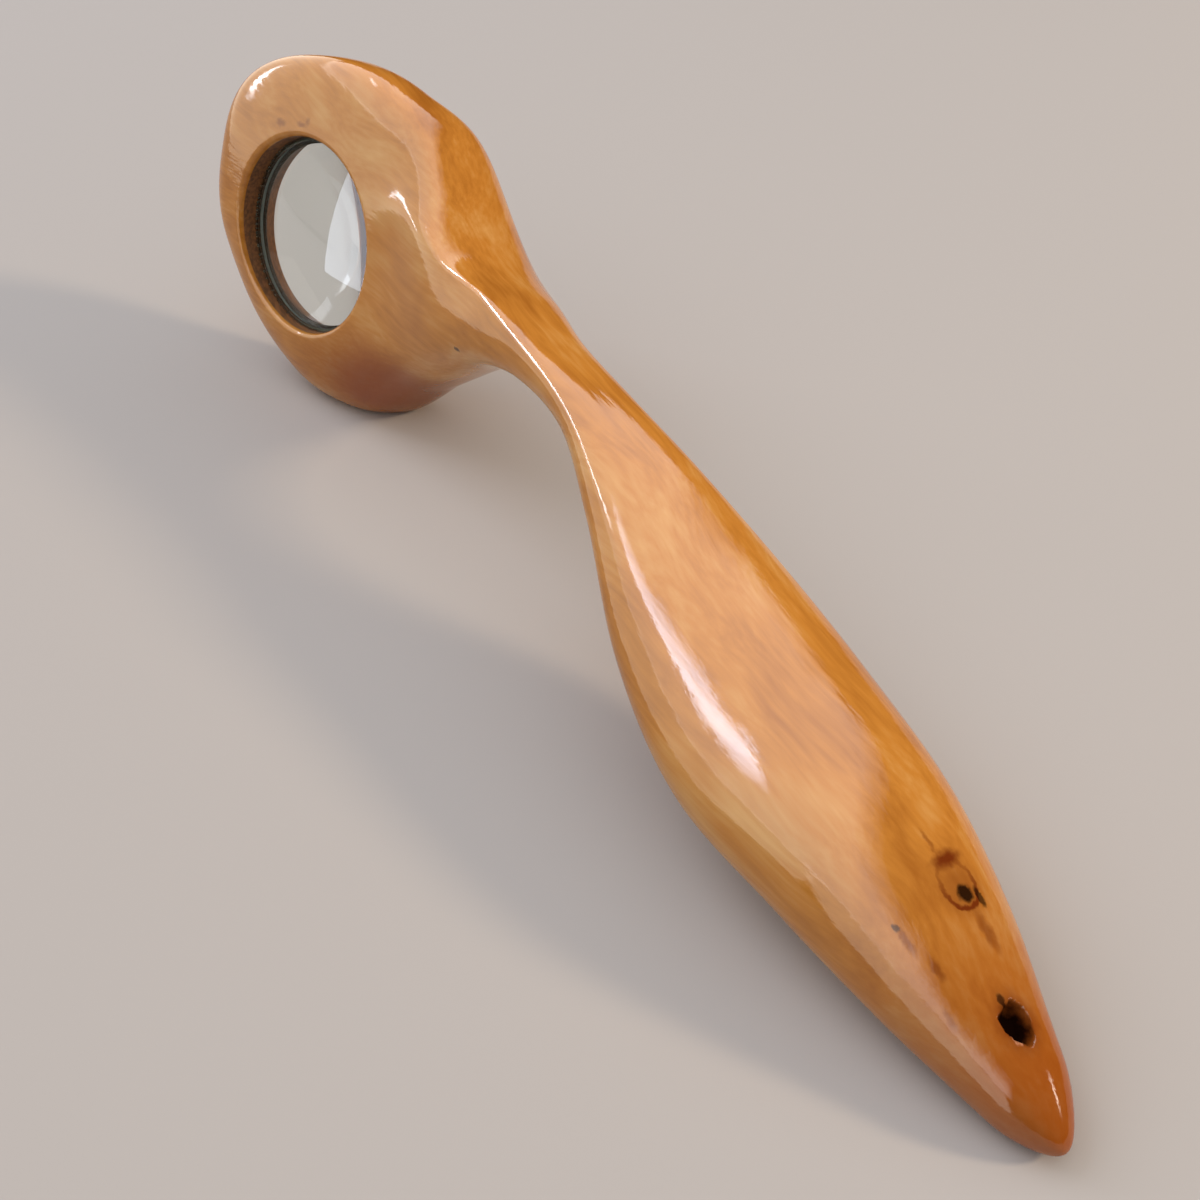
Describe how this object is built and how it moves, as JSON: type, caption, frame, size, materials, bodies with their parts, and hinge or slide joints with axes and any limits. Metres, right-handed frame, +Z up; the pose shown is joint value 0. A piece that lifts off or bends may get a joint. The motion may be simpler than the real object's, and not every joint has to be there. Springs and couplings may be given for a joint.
{
  "type": "hand magnifier",
  "caption": "Hand-carved wooden magnifier: a round head with a let-in glass lens, a thin curved neck and a leaf-shaped handle.",
  "frame": {"origin": "middle of the length and width, on the plane that the head and the tip stand on", "axes": "+X from the head to the tip of the handle, -Y the side that the lens faces, +Z up"},
  "size_m": [0.2416, 0.0412, 0.0638],
  "materials": {
    "wood": "gloss clear lacquer over knotty honey-coloured timber",
    "lens_glass": "polished",
    "cement": "clear set cement"
  },
  "bodies": {
    "root": {"wooden_body": "wood", "lens": "lens_glass", "seat_cement": "cement", "rim_cement": "cement"}
  },
  "joints": []
}
